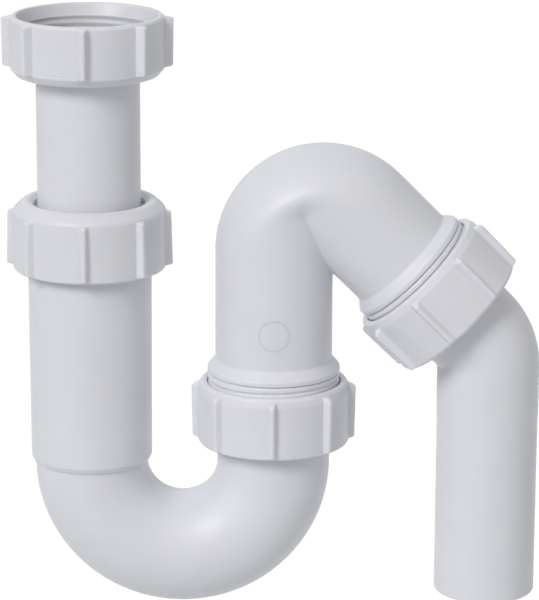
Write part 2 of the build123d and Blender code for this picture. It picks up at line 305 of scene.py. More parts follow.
class TrapStudio(bpy.types.PropertyGroup):
    """Floor, light and camera"""

    floor_colour: bpy.props.FloatVectorProperty(
        name="Floor Colour",
        description="Colour of the plain floor",
        default=(0.80, 0.80, 0.80),
        subtype="COLOR",
        min=0.0,
        max=1.0,
    )
    floor_drop: bpy.props.FloatProperty(
        name="Floor Drop",
        description="Distance from the trap's lowest point down to the floor",
        default=0.35,
        min=0.0,
        unit="LENGTH",
    )
    floor_size: bpy.props.FloatProperty(
        name="Floor Size",
        description="Width of the floor",
        default=16.0,
        min=1.0,
        unit="LENGTH",
    )
    floor_lift: bpy.props.FloatProperty(
        name="Floor Lift",
        description="Brightness added to the floor where the camera or a gloss sees it",
        default=0.46,
        min=0.0,
    )
    ambient: bpy.props.FloatProperty(
        name="Ambient Light",
        description="Strength of the light from all round",
        default=0.26,
        min=0.0,
    )
    key_light: bpy.props.FloatProperty(
        name="Key Light",
        description="Strength of the soft light from the front left",
        default=1.74,
        min=0.0,
    )
    fill_light: bpy.props.FloatProperty(
        name="Fill Light",
        description="Strength of the soft light from the front right",
        default=0.32,
        min=0.0,
    )
    back_light: bpy.props.FloatProperty(
        name="Back Light",
        description="Strength of the cool light from behind",
        default=0.34,
        min=0.0,
    )
    light_softness: bpy.props.FloatProperty(
        name="Light Softness",
        description="Angle that the key light fills",
        default=radians(24.0),
        min=0.0,
        max=pi,
        subtype="ANGLE",
    )
    camera_pitch: bpy.props.FloatProperty(
        name="Camera Pitch",
        description="Angle by which the camera looks down",
        default=radians(15.0),
        subtype="ANGLE",
    )
    camera_roll: bpy.props.FloatProperty(
        name="Camera Roll",
        description="Turn of the camera about its line of sight",
        default=radians(0.2),
        subtype="ANGLE",
    )
    camera_distance: bpy.props.FloatProperty(
        name="Camera Distance",
        description="Distance from the camera to the point it looks at",
        default=1.0047,
        min=0.1,
        unit="LENGTH",
    )
    camera_lens: bpy.props.FloatProperty(
        name="Camera Lens",
        description="Focal length for a sensor 36 mm high",
        default=190.8,
        min=10.0,
        unit="CAMERA",
    )
    camera_target: bpy.props.FloatVectorProperty(
        name="Camera Target",
        description="Point that the camera looks at",
        default=(0.0566, 0.0, -0.0808),
        subtype="TRANSLATION",
        unit="LENGTH",
    )


def millimetres(metres):
    """A property's metres as millimetres."""
    return metres * MILLIMETRES


def rounded_loop(corners, steps=5):
    """A closed profile from corners of radius, height and rounding."""
    points = []
    for i, (radius, height, rounding) in enumerate(corners):
        here = np.array((radius, height))
        before = np.array(corners[i - 1][:2]) - here
        after = np.array(corners[(i + 1) % len(corners)][:2]) - here
        room = CORNER_SHARE * min(np.linalg.norm(before), np.linalg.norm(after))
        before, after = before / np.linalg.norm(before), after / np.linalg.norm(after)
        half = acos(max(-1.0, min(1.0, before @ after))) / 2
        reach = min(rounding / tan(half), room)
        # Nothing to round: no reach, or a corner that is nearly straight
        if reach < 0.001 or half > radians(89.5):
            points.append(here)
            continue
        centre = here + (before + after) / np.linalg.norm(before + after) * reach / cos(half)
        first, last = here + before * reach - centre, here + after * reach - centre
        swing = pi - 2 * half
        for share in np.linspace(0.0, 1.0, steps + 1):
            points.append(
                centre + (first * sin((1 - share) * swing) + last * sin(share * swing)) / sin(swing)
            )
    return np.array(points)


def with_rows(loop, heights, inner, outer):
    """The profile with points added at these heights on its edges between the two radii."""
    points = []
    for start, end in zip(loop, np.roll(loop, -1, axis=0)):
        points.append(start)
        low, high = sorted((start[1], end[1]))
        if min(start[0], end[0]) < inner or max(start[0], end[0]) > outer or high - low < 1e-6:
            continue
        between = {round(float(h), 4) for h in heights if low + 0.01 < h < high - 0.01}
        for height in sorted(between, reverse=bool(start[1] > end[1])):
            share = (height - start[1]) / (end[1] - start[1])
            points.append(start + (end - start) * share)
    return np.array(points)


def closed_mesh(name, points):
    """A ring-shaped skin through a grid of points that closes on itself both ways, in millimetres."""
    rows, columns = points.shape[:2]
    row, column = np.meshgrid(np.arange(rows), np.arange(columns), indexing="ij")
    below, beside = (row + 1) % rows, (column + 1) % columns
    quads = np.stack(
        (
            row * columns + column,
            below * columns + column,
            below * columns + beside,
            row * columns + beside,
        ),
        axis=-1,
    ).reshape(-1, 4)
    mesh = bpy.data.meshes.new(name)
    mesh.from_pydata((points.reshape(-1, 3) / MILLIMETRES).tolist(), [], quads.tolist())
    skin = bmesh.new()
    skin.from_mesh(mesh)
    bmesh.ops.recalc_face_normals(skin, faces=skin.faces)
    skin.to_mesh(mesh)
    skin.free()
    mesh.shade_smooth()
    return mesh


def new_object(name, data):
    """A new object in the scene."""
    made = bpy.data.objects.new(name, data)
    bpy.context.scene.collection.objects.link(made)
    return made


def add_piece(name, mesh, material, body, slot, *nodes):
    """A mesh that moves with a body, and stands for the CAD nodes that are named."""
    piece = new_object(name, mesh)
    mesh.materials.append(material)
    normals = piece.modifiers.new("Flat Faces Stay Flat", "WEIGHTED_NORMAL")
    normals.weight = NORMAL_WEIGHT
    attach(piece, body)
    if nodes:
        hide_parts(*nodes)
    return piece


def around(count):
    """Angles of evenly spaced columns."""
    return np.linspace(0.0, 2 * pi, count, endpoint=False)


def place_of(origin, x_direction, z_direction):
    """A function that places local points by an origin and two directions."""
    x, z = np.array(x_direction, float), np.array(z_direction, float)
    axes = np.stack((x, np.cross(z, x), z))
    base = np.array(origin, float)
    return lambda points: points @ axes + base


def turned(loop, angles):
    """The points of a profile turned about the local Z axis."""
    radii = loop[:, :1] + np.zeros_like(angles)[None, :]
    heights = loop[:, 1:] + np.zeros_like(angles)[None, :]
    return np.stack((radii * np.cos(angles), radii * np.sin(angles), heights), axis=-1)


def push_out(points, distance, directions):
    """Moves points away from the local Z axis, each in its own direction."""
    points[..., 0] += distance * np.cos(directions)
    points[..., 1] += distance * np.sin(directions)


def ridges(heights, angles, low, high, pitch, start, flank=RIDGE_FLANK):
    """How far each point stands on a right-hand thread's ridges, from 0 to 1, between two heights."""
    phase = (heights - start) / pitch - angles / (2 * pi)
    away = np.abs(phase - np.round(phase)) * 2
    crest = np.clip((RIDGE_WIDTH - away) / flank, 0.0, 1.0)
    crest = THREAD_ROOT + (1 - THREAD_ROOT) * crest * crest * (3 - 2 * crest)
    fade = np.clip((heights - low) / (THREAD_FADE_IN * pitch), 0.0, 1.0)
    fade = fade * np.clip((high - heights) / (THREAD_FADE_OUT * pitch), 0.0, 1.0)
    return crest * fade


def rib_section(rise):
    """Offsets and heights across a grip rib with leaning flanks, from root to root."""
    side, up = cos(RIB_LEAN), sin(RIB_LEAN)
    flank = (rise - (RIB_CREST + RIB_ROOT) * (1 - up)) / side
    root = RIB_CREST_FLAT + (RIB_CREST + RIB_ROOT) * side + flank * up
    top = [
        (RIB_CREST_FLAT + RIB_CREST * cos(a), rise - RIB_CREST + RIB_CREST * sin(a))
        for a in np.linspace(pi / 2, RIB_LEAN, 7)
    ]
    foot = [
        (root + RIB_ROOT * cos(a), RIB_ROOT + RIB_ROOT * sin(a))
        for a in np.linspace(pi + RIB_LEAN, 1.5 * pi, 5)
    ]
    half = top + foot
    return [(-w, h) for w, h in reversed(half)] + half


def rib_columns(rise, turn):
    """The angle, rib direction and rib height of each column round a nut."""
    section = rib_section(rise)
    angles, directions, heights = [], [], []
    step = 2 * pi / RIB_COUNT
    edge = asin(section[-1][0] / NUT_RADIUS)
    for i in range(RIB_COUNT):
        middle = radians(turn) + i * step
        for offset, height in section:
            angles.append(middle + asin(offset / NUT_RADIUS))
            directions.append(middle)
            heights.append(height)
        for share in np.linspace(0.0, 1.0, PLAIN_RIB_COLUMNS + 2)[1:-1]:
            angles.append(middle + edge + share * (step - 2 * edge))
            directions.append(middle)
            heights.append(0.0)
    return np.array(angles), np.array(directions), np.array(heights)


def ribbed_nut(name, spec, sizes, threaded=False):
    """A nut's mesh, made with its lip down and its mouth up, and then put in its place."""
    height, (foot_radius, foot_height) = spec["height"], spec["foot"]
    rim_radius, rim_height = spec["rim"]
    rib_low, rib_high = spec["margins"][0], height - spec["margins"][1]
    seat, thread_top = spec["seat"], height - spec.get("lead_in", LEAD_IN_DEPTH)
    relief = NUT_THREAD_RADIUS + THREAD_RELIEF
    edge = millimetres(sizes.edge_round)
    plain_sink = (spec["hole"] + LIP_CHAMFER, spec["bottom"] + LIP_CHAMFER)
    sink_radius, sink_depth = spec.get("countersink", plain_sink)
    loop = rounded_loop(
        [
            (spec["hole"], sink_depth, edge),
            (sink_radius, spec["bottom"], spec["hole_round"]),
            (foot_radius, spec["bottom"], spec["foot_round"]),
            (NUT_RADIUS, foot_height, spec["foot_round"]),
            (NUT_RADIUS, height - rim_height, edge),
            *((radius, height - drop, edge) for radius, drop in spec.get("shoulder", ())),
            (rim_radius, height, spec.get("rim_round", edge)),
            (spec["mouth"], height, edge),
            (LEAD_IN_RADIUS, thread_top, 0.1),
            (NUT_THREAD_RADIUS, thread_top, 0.1),
            (NUT_THREAD_RADIUS, seat, 0.1),
            (relief, seat, 0.1),
            (relief, LIP_THICKNESS, edge),
            (spec["hole"], LIP_THICKNESS, edge),
        ]
    )
    foot_end, rim_end = (millimetres(sizes.rib_end_round) * share for share in spec["ends"])
    heights = list(rib_low + RIB_END_ROWS * foot_end) + list(rib_high - RIB_END_ROWS * rim_end)
    heights += list(np.linspace(rib_low + 2.5, rib_high - 2.5, 6))
    if "groove" in spec:
        heights += [spec["groove"] + offset for offset in GROOVE_ROWS]
    loop = with_rows(loop, heights, NUT_OUTSIDE, 2 * NUT_RADIUS)
    if threaded:
        thread_rows = np.arange(seat, thread_top + 1.0, THREAD_ROW)
        loop = with_rows(loop, thread_rows, NUT_THREAD_RADIUS - 0.1, relief - 0.05)
    angles, directions, rib_heights = rib_columns(max(spec["rises"]), spec["turn"])
    points = turned(loop, angles)
    outside = loop[:, 0] > NUT_OUTSIDE
    along = np.clip((loop[:, 1] - rib_low) / (rib_high - rib_low), 0.0, 1.0)
    rise = spec["rises"][0] + (spec["rises"][1] - spec["rises"][0]) * along
    inwards = np.minimum((loop[:, 1] - rib_low) / foot_end, (rib_high - loop[:, 1]) / rim_end)
    inwards = np.clip(inwards, 0.0, 1.0)
    grown = np.where(outside, np.sqrt(1 - (1 - inwards) ** 2) * rise / max(spec["rises"]), 0.0)
    push_out(points, grown[:, None] * rib_heights[None, :], directions)
    spread = np.zeros(points.shape[:2])
    if threaded:
        bore = (np.abs(loop[:, 0] - NUT_THREAD_RADIUS) < NUT_BORE_REACH)[:, None]
        stand = ridges(
            points[..., 2],
            angles[None, :],
            seat,
            thread_top + 0.5,
            millimetres(sizes.thread_pitch),
            spec["thread_start"],
            INLET_RIDGE_FLANK,
        )
        stand = stand * spec["thread_share"] * millimetres(sizes.thread_depth)
        spread -= np.where(bore, stand, 0.0)
    if "groove" in spec:
        dent = spec["groove_depth"] * np.exp(-(((loop[:, 1] - spec["groove"]) / GROOVE_WIDTH) ** 2))
        spread -= np.where(outside, dent, 0.0)[:, None]
    push_out(points, spread, angles)
    return closed_mesh(name, spec["place"](points))


# Each nut in its own frame, in millimetres: heights from the lip, rim and shoulder as radius and drop
# below the mouth, foot as radius and height, ribs' margins from lip and mouth, and their turn in degrees
NUTS = {
    "inlet_nut": {
        "place": place_of((0, 0, INLET_BASE), (1, 0, 0), UP),
        "height": INLET_NUT_HEIGHT,
        "hole": INLET_RADIUS + TURNING_GAP,
        "bottom": 0.0,
        "mouth": 22.0,
        "seat": UNION_SEAT,
        "lead_in": 3.65,
        "foot": (22.0, 2.4),
        "foot_round": 1.2,
        "hole_round": 0.4,
        "rim": (23.3, 0.8),
        "margins": (2.5, 0.4),
        "ends": (0.8, 0.9),
        "rises": (2.5, 2.7),
        "turn": 0.0,
        "thread_start": INLET_NUT_HEIGHT - FIRST_TURN_DEPTH - THREAD_PITCH / 4,
        "thread_share": 0.5,
        "groove": 3.2,
        "groove_depth": 0.07,
    },
    "telescopic_nut": {
        "place": place_of((0, 0, TELESCOPIC_BASE), (1, 0, 0), -UP),
        "height": 22.1,
        "hole": INLET_RADIUS + 1.3,
        "bottom": 0.4,
        "mouth": 22.0,
        "countersink": (19.1, 1.5),
        "hole_round": 1.2,
        "seat": TELESCOPIC_SEAT,
        "foot": (20.9, 3.2),
        "foot_round": 2.2,
        "rim": (23.5, 0.6),
        "margins": (3.6, 0.7),
        "ends": (1.0, 0.7),
        "rises": (1.7, 2.2),
        "turn": 1.2,
    },
    "swivel_nut": {
        "place": place_of((LEG_SPACING, 0, SWIVEL_BASE), (1, 0, 0), UP),
        "height": 19.5,
        "hole": U_BEND_RADIUS + TURNING_GAP,
        "bottom": -0.35,
        "mouth": 21.3,
        "hole_round": 0.4,
        "seat": UNION_SEAT,
        "foot": (23.6, 0.2),
        "foot_round": 0.3,
        "rim": (22.9, 2.9),
        "shoulder": ((23.6, 0.9),),
        "rim_round": 0.5,
        "margins": (0.3, 0.9),
        "ends": (0.8, 2.0),
        "rises": (1.8, 2.2),
        "turn": -1.0,
    },
    "outlet_nut": {
        "place": place_of(OUTLET_LIP, SIDEWAYS, -ARM_DIRECTION),
        "height": 20.5,
        "hole": OUTLET_RADIUS + 1.0,
        "bottom": 0.4,
        "mouth": 21.3,
        "hole_round": 0.4,
        "seat": UNION_SEAT,
        "foot": (23.3, 1.3),
        "foot_round": 0.7,
        "rim": (23.3, 2.6),
        "rim_round": 0.6,
        "margins": (1.2, 1.9),
        "ends": (0.8, 2.0),
        "rises": (1.8, 2.2),
        "turn": -9.0,
    },
}


def bent_line(start, heading, runs):
    """A line in the XZ plane, of runs of length and turn, as places and left-hand normals along it."""

    def at(distances):
        x, z = np.full_like(distances, start[0]), np.full_like(distances, start[1])
        angle = np.full_like(distances, heading)
        left = np.array(distances, float)
        for number, (length, turn) in enumerate(runs):
            last = number == len(runs) - 1
            step = np.maximum(left, 0.0) if last else np.clip(left, 0.0, length)
            if turn == 0.0:
                x, z = x + step * np.cos(angle), z + step * np.sin(angle)
            else:
                radius, after = length / turn, angle + turn * step / length
                x = x + radius * (np.sin(after) - np.sin(angle))
                z = z - radius * (np.cos(after) - np.cos(angle))
                angle = after
            left = left - length
        return np.stack((x, 0 * x, z), -1), np.stack((-np.sin(angle), 0 * x, np.cos(angle)), -1)

    return at


def swept(loop, line, angles):
    """The points of a profile of radius and distance, carried along a line."""
    centres, normals = line(loop[:, 1])
    across = np.cos(angles)[None, :, None] * normals[:, None, :]
    across = across + np.sin(angles)[None, :, None] * SIDEWAYS
    return centres[:, None, :] + loop[:, 0][:, None, None] * across


def s_bend_points(loop, angles, crease):
    """The S-bend's points: straight pipes, and a turn that is creased inside and round outside."""
    radii, distances = loop[:, :1], loop[:, 1:]
    from_axis = S_BEND_TURN_RADIUS + radii * np.cos(angles)[None, :]
    sideways = radii * np.sin(angles)[None, :]
    secant = 1 / cos(S_BEND_TURN / 2)
    mitred = (from_axis - crease) * secant + crease
    fade = np.clip((from_axis - CREASE_LOW) / (CREASE_HIGH - CREASE_LOW), 0.0, 1.0)
    reach = CREASE_REACH + np.minimum(radii - S_BEND_RADIUS, 0.0)
    rounded = from_axis + reach * (1 - fade * fade * (3 - 2 * fade))
    apex = rounded - CREASE_BLEND * np.log1p(np.exp((rounded - mitred) / CREASE_BLEND))
    bend = (secant * from_axis - apex) / (secant - 1)
    bend = np.maximum(np.minimum(bend, from_axis), crease)
    beyond = (from_axis - bend) * MITRE_SLOPE
    share = np.clip((distances - TURN_START) / TURN_SPAN, 0.0, 1.0) + 0 * from_axis
    first = np.clip(share / TURN_STRAIGHT, 0.0, 1.0)
    turn = np.clip((share - TURN_STRAIGHT) / TURN_SHARE, 0.0, 1.0) * S_BEND_TURN
    last = np.clip((share - 1 + TURN_STRAIGHT) / TURN_STRAIGHT, 0.0, 1.0)
    run = TURN_MARGIN + beyond
    x = CREST_X - from_axis + bend - bend * np.cos(turn)
    z = CREST_HEIGHT - TURN_MARGIN + run * first + bend * np.sin(turn)
    before = np.minimum(distances - TURN_START, 0.0)
    after = np.maximum(distances - TURN_START - TURN_SPAN, 0.0) + run * last
    return np.stack(
        (x + after * ARM_DIRECTION[0], sideways, z + before + after * ARM_DIRECTION[2]), axis=-1
    )


def mark_points():
    """A fine raised ring on the front of the riser, as an ejector leaves it."""
    around_wire, around_ring = around(MARK_SIDES)[:, None], around(PIPE_COLUMNS)[None, :]
    across = MARK_RADIUS + MARK_WIRE * np.cos(around_wire)
    out = S_BEND_RADIUS - MARK_WIRE / 2 + MARK_WIRE * np.sin(around_wire) + 0 * around_ring
    angle = across * np.cos(around_ring) / S_BEND_RADIUS
    height = S_BEND_FOOT + MARK_HEIGHT + across * np.sin(around_ring)
    return np.stack((LEG_SPACING + out * np.sin(angle), -out * np.cos(angle), height), axis=-1)


def add_nodes(material, *steps):
    """Adds unlinked shader nodes to a material from type and settings, and returns them."""
    made = []
    for kind, settings in steps:
        node = material.node_tree.nodes.new(kind)
        for key, value in settings.items():
            if key in node.inputs:
                node.inputs[key].default_value = value
            else:
                setattr(node, key, value)
        made.append(node)
    return made


def blank_material(name):
    """A new material and its Principled shader."""
    material = bpy.data.materials.new(name)
    material.use_nodes = True
    return material, material.node_tree.nodes["Principled BSDF"]


def moulded_plastic(name, colour, roughness, grain_depth):
    """White moulded plastic: faint flow clouds, a fine grain and a few tiny flecks."""
    material, shader = blank_material(name)
    link = material.node_tree.links.new
    place, cloud, tint, fleck, fleck_size, specks = add_nodes(
        material,
        ("ShaderNodeTexCoord", {}),
        ("ShaderNodeTexNoise", {"Scale": 70.0, "Detail": 3.0, "Roughness": 0.55}),
        ("ShaderNodeValToRGB", {}),
        ("ShaderNodeTexVoronoi", {"Scale": 170.0}),
        ("ShaderNodeMapRange", {"From Min": 0.018, "From Max": 0.032, "To Min": 0.8, "To Max": 0.0}),
        ("ShaderNodeMix", {"data_type": "RGBA"}),
    )
    rarity, rare = add_nodes(
        material,
        ("ShaderNodeMapRange", {"From Min": 0.9, "From Max": 0.92, "To Min": 0.0, "To Max": 1.0}),
        ("ShaderNodeMath", {"operation": "MULTIPLY"}),
    )
    wear, sheen, grain, waves, bump, swell = add_nodes(
        material,
        ("ShaderNodeTexNoise", {"Scale": 420.0, "Detail": 4.0}),
        ("ShaderNodeMapRange", {"To Min": roughness - 0.05, "To Max": roughness + 0.06}),
        ("ShaderNodeTexNoise", {"Scale": 5200.0, "Detail": 2.0}),
        ("ShaderNodeTexNoise", {"Scale": 130.0, "Detail": 1.0}),
        ("ShaderNodeBump", {"Distance": grain_depth, "Strength": 0.6}),
        ("ShaderNodeBump", {"Distance": grain_depth * 4, "Strength": 0.5}),
    )
    dark, light = (tuple(c * k for c in colour) + (1.0,) for k in (0.985, 1.012))
    tint.color_ramp.elements[0].color = dark
    tint.color_ramp.elements[0].position = 0.3
    tint.color_ramp.elements[1].color = light
    tint.color_ramp.elements[1].position = 0.7
    for texture in (cloud, fleck, wear, grain, waves):
        link(place.outputs["Object"], texture.inputs["Vector"])
    link(cloud.outputs["Fac"], tint.inputs["Fac"])
    link(fleck.outputs["Distance"], fleck_size.inputs["Value"])
    link(fleck.outputs["Color"], rarity.inputs["Value"])
    link(fleck_size.outputs["Result"], rare.inputs[0])
    link(rarity.outputs["Result"], rare.inputs[1])
    link(rare.outputs["Value"], specks.inputs["Factor"])
    link(tint.outputs["Color"], specks.inputs["A"])
    specks.inputs["B"].default_value = tuple(c * 0.72 for c in colour) + (1.0,)
    link(specks.outputs["Result"], shader.inputs["Base Color"])
    link(wear.outputs["Fac"], sheen.inputs["Value"])
    link(sheen.outputs["Result"], shader.inputs["Roughness"])
    link(waves.outputs["Fac"], swell.inputs["Height"])
    link(grain.outputs["Fac"], bump.inputs["Height"])
    link(swell.outputs["Normal"], bump.inputs["Normal"])
    link(bump.outputs["Normal"], shader.inputs["Normal"])
    shader.inputs["IOR"].default_value = 1.49
    shader.inputs["Subsurface Weight"].default_value = 0.5
    shader.inputs["Subsurface Radius"].default_value = (1.0, 0.95, 0.9)
    shader.inputs["Subsurface Scale"].default_value = 0.0012
    return material


def moulded_rubber(name, colour, roughness, grain_depth):
    """Black rubber with a dusty bloom and a fine grain."""
    material, shader = blank_material(name)
    link = material.node_tree.links.new
    place, bloom, tint, wear, sheen, grain, bump = add_nodes(
        material,
        ("ShaderNodeTexCoord", {}),
        ("ShaderNodeTexNoise", {"Scale": 260.0, "Detail": 5.0, "Roughness": 0.6}),
        ("ShaderNodeValToRGB", {}),
        ("ShaderNodeTexNoise", {"Scale": 900.0, "Detail": 3.0}),
        ("ShaderNodeMapRange", {"To Min": roughness - 0.08, "To Max": roughness + 0.1}),
        ("ShaderNodeTexNoise", {"Scale": 3600.0, "Detail": 3.0}),
        ("ShaderNodeBump", {"Distance": grain_depth * 3, "Strength": 0.8}),
    )
    tint.color_ramp.elements[0].color = tuple(colour) + (1.0,)
    tint.color_ramp.elements[0].position = 0.4
    tint.color_ramp.elements[1].color = tuple(c * 1.9 for c in colour) + (1.0,)
    for texture in (bloom, wear, grain):
        link(place.outputs["Object"], texture.inputs["Vector"])
    link(bloom.outputs["Fac"], tint.inputs["Fac"])
    link(tint.outputs["Color"], shader.inputs["Base Color"])
    link(wear.outputs["Fac"], sheen.inputs["Value"])
    link(sheen.outputs["Result"], shader.inputs["Roughness"])
    link(grain.outputs["Fac"], bump.inputs["Height"])
    link(bump.outputs["Normal"], shader.inputs["Normal"])
    return material


def finish_of(name):
    """The named material of this trap, made when it is first asked for."""
    if name in bpy.data.materials:
        return bpy.data.materials[name]
    looks = bpy.context.scene.trap_finishes
    if name == "Black Rubber":
        return moulded_rubber(name, looks.rubber_colour, looks.rubber_roughness, looks.grain_depth)
    colours = {
        "White Pipe Plastic": looks.pipe_colour,
        "White Nut Plastic": looks.nut_colour,
        "Natural Ring Plastic": looks.ring_colour,
    }
    return moulded_plastic(name, colours[name], looks.plastic_roughness, looks.grain_depth)


class TRAP_OT_inlet_nut(bpy.types.Operator):
    """Make the inlet union nut, with its female thread open at the top"""

    bl_idname = "trap.inlet_nut"
    bl_label = "Inlet Nut"

    def execute(self, context):
        sizes, finish = context.scene.trap_sizes, finish_of("White Nut Plastic")
        mesh = ribbed_nut("inlet_nut_skin", NUTS["inlet_nut"], sizes, threaded=True)
        add_piece("inlet_union_nut", mesh, finish, "inlet_nut", "nut_plastic", "inlet_nut")
        return {"FINISHED"}


class TRAP_OT_telescopic_nut(bpy.types.Operator):
    """Make the telescopic nut that clamps the inlet tube"""

    bl_idname = "trap.telescopic_nut"
    bl_label = "Telescopic Nut"

    def execute(self, context):
        sizes, finish = context.scene.trap_sizes, finish_of("White Nut Plastic")
        mesh = ribbed_nut("telescopic_nut_skin", NUTS["telescopic_nut"], sizes)
        add_piece("compression_nut", mesh, finish, "telescopic_nut", "nut_plastic", "telescopic_nut")
        return {"FINISHED"}


class TRAP_OT_union_nuts(bpy.types.Operator):
    """Make the two like nuts of the swivel and outlet joints"""

    bl_idname = "trap.union_nuts"
    bl_label = "Union Nuts"

    def execute(self, context):
        sizes, finish = context.scene.trap_sizes, finish_of("White Nut Plastic")
        for node in ("swivel_nut", "outlet_nut"):
            mesh = ribbed_nut(node + "_skin", NUTS[node], sizes)
            add_piece(node + "_ribbed", mesh, finish, node, "nut_plastic", node)
        return {"FINISHED"}


class TRAP_OT_inlet_tube(bpy.types.Operator):
    """Make the flanged tube that slides in the inlet leg"""

    bl_idname = "trap.inlet_tube"
    bl_label = "Inlet Tube"

    def execute(self, context):
        edge = millimetres(context.scene.trap_sizes.edge_round)
        top, low = -WASHER_THICKNESS, -WASHER_THICKNESS - INLET_LENGTH
        loop = rounded_loop(
            [
                (INLET_RADIUS - PIPE_WALL, top, edge),
                (FLANGE_RADIUS, top, edge),
                (FLANGE_RADIUS, top - FLANGE_THICKNESS, edge),
                (INLET_RADIUS, top - FLANGE_THICKNESS, edge),
                (INLET_RADIUS, low, edge),
                (INLET_RADIUS - PIPE_WALL, low, edge),
            ]
        )
        rows = np.arange(low + PIPE_ROW, top - PIPE_ROW, PIPE_ROW)
        loop = with_rows(loop, rows, 0.0, INLET_RADIUS + 0.1)
        mesh = closed_mesh("inlet_tube_skin", turned(loop, around(PIPE_COLUMNS)))
        finish = finish_of("White Pipe Plastic")
        add_piece("sliding_tube", mesh, finish, "inlet_tube", "pipe_plastic", "inlet_tube")
        return {"FINISHED"}


class TRAP_OT_inlet_leg(bpy.types.Operator):
    """Make the inlet leg, with its male thread and the socket for the U-bend"""

    bl_idname = "trap.inlet_leg"
    bl_label = "Inlet Leg"

    def execute(self, context):
        sizes = context.scene.trap_sizes
        edge = millimetres(sizes.edge_round)
        mouth_depth = LEG_MOUTH_RADIUS - LEG_BORE_RADIUS
        socket = U_BEND_RADIUS + SOCKET_GAP
        loop = rounded_loop(
            [
                (LEG_MOUTH_RADIUS, LEG_TOP, 0.1),
                (LEG_TOP_RADIUS, LEG_TOP, 0.1),
                (LEG_TOP_RADIUS, LEG_TOP - THREAD_LENGTH, 0.0),
                (LEG_BOTTOM_RADIUS, LEG_BOTTOM + LEG_FOOT_HEIGHT, edge),
                (LEG_BOTTOM_RADIUS - LEG_FOOT_CHAMFER, LEG_BOTTOM, edge),
                (socket, LEG_BOTTOM, 0.05),
                (socket, LEG_BOTTOM + SOCKET_DEPTH, 0.1),
                (LEG_BORE_RADIUS, LEG_BOTTOM + SOCKET_DEPTH, 0.1),
                (LEG_BORE_RADIUS, LEG_TOP - mouth_depth, 0.1),
            ]
        )
        thread_rows = np.arange(LEG_TOP - THREAD_LENGTH, LEG_TOP, THREAD_ROW)
        loop = with_rows(loop, thread_rows, *THREAD_BAND)
        rows = np.arange(LEG_BOTTOM + 5.0, LEG_TOP - THREAD_LENGTH - 1.0, PIPE_ROW)
        loop = with_rows(loop, rows, 0.0, THREAD_BAND[1])
        angles = around(PIPE_COLUMNS)
        points = turned(loop, angles)
        stand = ridges(
            points[..., 2],
            angles[None, :],
            LEG_TOP - THREAD_LENGTH,
            LEG_TOP,
            millimetres(sizes.thread_pitch),
            LEG_TOP,
        )
        threaded = (loop[:, 0] > LEG_BOTTOM_RADIUS + 0.1)[:, None]
        stand = np.where(threaded, stand, 0.0) * millimetres(sizes.thread_depth)
        push_out(points, stand, angles)
        mesh = closed_mesh("inlet_leg_skin", points)
        finish = finish_of("White Pipe Plastic")
        add_piece("wide_leg", mesh, finish, "trap_body", "pipe_plastic", "inlet_leg")
        return {"FINISHED"}


class TRAP_OT_u_bend(bpy.types.Operator):
    """Make the U-bend that holds the water seal"""

    bl_idname = "trap.u_bend"
    bl_label = "U-bend"

    def execute(self, context):
        edge = millimetres(context.scene.trap_sizes.edge_round)
        fall, arc = SOCKET_DEPTH + U_BEND_NECK, pi * LEG_SPACING / 2
        line = bent_line(
            (0.0, LEG_BOTTOM + SOCKET_DEPTH), -pi / 2, [(fall, 0.0), (arc, pi), (U_BEND_RISE, 0.0)]
        )
        whole = fall + arc + U_BEND_RISE
        bore = U_BEND_RADIUS - PIPE_WALL
        loop = rounded_loop(
            [
                (bore, 0.0, edge),
                (U_BEND_RADIUS, 0.0, edge),
                (U_BEND_RADIUS, whole - FLANGE_THICKNESS, edge),
                (FLANGE_RADIUS, whole - FLANGE_THICKNESS, edge),
                (FLANGE_RADIUS, whole, edge),
                (bore, whole, edge),
            ]
        )
        rows = list(np.linspace(fall, fall + arc, 97)) + [fall - PIPE_ROW, fall + arc + PIPE_ROW]
        loop = with_rows(loop, rows, 0.0, U_BEND_RADIUS + 0.1)
        mesh = closed_mesh("u_bend_skin", swept(loop, line, around(PIPE_COLUMNS)))
        nodes, finish = ("u_bend_left", "u_bend_right"), finish_of("White Pipe Plastic")
        add_piece("deep_bend", mesh, finish, "trap_body", "pipe_plastic", *nodes)
        return {"FINISHED"}


